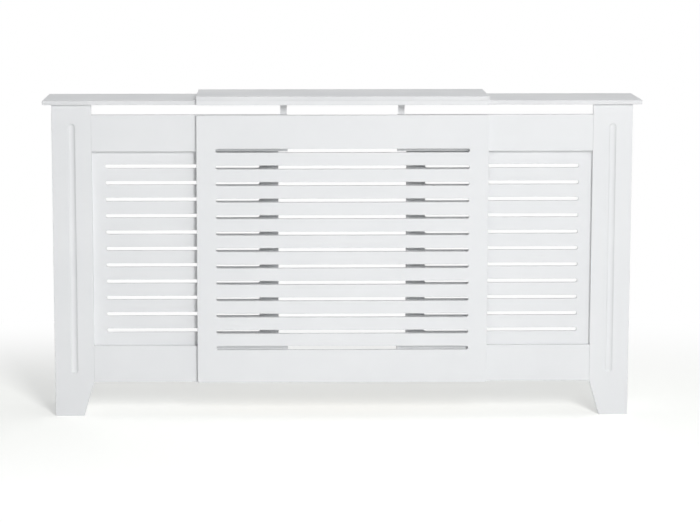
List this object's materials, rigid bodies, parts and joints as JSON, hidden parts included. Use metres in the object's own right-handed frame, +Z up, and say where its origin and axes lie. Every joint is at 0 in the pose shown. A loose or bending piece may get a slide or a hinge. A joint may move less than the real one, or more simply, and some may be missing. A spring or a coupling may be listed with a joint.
{
  "type": "radiator cover cabinet",
  "caption": "White painted radiator cover whose slotted side units slide out from behind a slotted centre panel and shelf to change its width.",
  "frame": {"origin": "on the floor, below the middle of the cover's bounding box at rest", "axes": "+X to the cover's right seen from the front, +Y to the wall, +Z up"},
  "size_m": [1.496, 0.19, 0.815],
  "materials": {
    "white_paint": "satin white paint on fine fibreboard",
    "softwood": "planed bare softwood",
    "beech": "turned bare beech",
    "zinc_steel": "bright zinc plate"
  },
  "bodies": {
    "centre_unit": {"centre_panel": "white_paint", "centre_shelf": "white_paint", "shelf_lip": "white_paint", "upper_guide": "softwood", "upper_guide_spacer": "softwood", "upper_guide_screw_a": "zinc_steel", "upper_guide_screw_b": "zinc_steel", "lower_guide": "softwood", "lower_guide_spacer": "softwood", "lower_guide_screw_a": "zinc_steel", "lower_guide_screw_b": "zinc_steel", "shelf_guide": "softwood", "shelf_guide_spacer": "softwood", "shelf_guide_screw_a": "zinc_steel", "shelf_guide_screw_b": "zinc_steel"},
    "left_unit": {"left_leg": "white_paint", "left_gable": "white_paint", "left_top_rail": "white_paint", "left_bottom_rail": "white_paint", "left_grille": "white_paint", "left_shelf": "white_paint", "left_shelf_block": "white_paint", "left_corner_batten": "softwood", "left_top_clamp_screw": "zinc_steel", "left_bottom_clamp_screw": "zinc_steel", "left_upper_wall_bracket": "zinc_steel", "left_lower_wall_bracket": "zinc_steel", "left_upper_bracket_screw": "zinc_steel", "left_lower_bracket_screw": "zinc_steel", "left_shelf_dowel_front": "beech", "left_shelf_dowel_back": "beech", "left_top_rail_dowel_a": "beech", "left_top_rail_dowel_b": "beech", "left_bottom_rail_dowel_a": "beech", "left_bottom_rail_dowel_b": "beech"},
    "right_unit": {"right_leg": "white_paint", "right_gable": "white_paint", "right_top_rail": "white_paint", "right_bottom_rail": "white_paint", "right_grille": "white_paint", "right_shelf": "white_paint", "right_shelf_block": "white_paint", "right_corner_batten": "softwood", "right_top_clamp_screw": "zinc_steel", "right_bottom_clamp_screw": "zinc_steel", "right_upper_wall_bracket": "zinc_steel", "right_lower_wall_bracket": "zinc_steel", "right_upper_bracket_screw": "zinc_steel", "right_lower_bracket_screw": "zinc_steel", "right_shelf_dowel_front": "beech", "right_shelf_dowel_back": "beech", "right_top_rail_dowel_a": "beech", "right_top_rail_dowel_b": "beech", "right_bottom_rail_dowel_a": "beech", "right_bottom_rail_dowel_b": "beech"}
  },
  "joints": [
    {"name": "left_unit_slide", "type": "slide", "parent": "centre_unit", "child": "left_unit", "axis": [-1, 0, 0], "range_m": [-0.116, 0.18]},
    {"name": "right_unit_slide", "type": "slide", "parent": "centre_unit", "child": "right_unit", "axis": [1, 0, 0], "range_m": [-0.116, 0.18]}
  ]
}
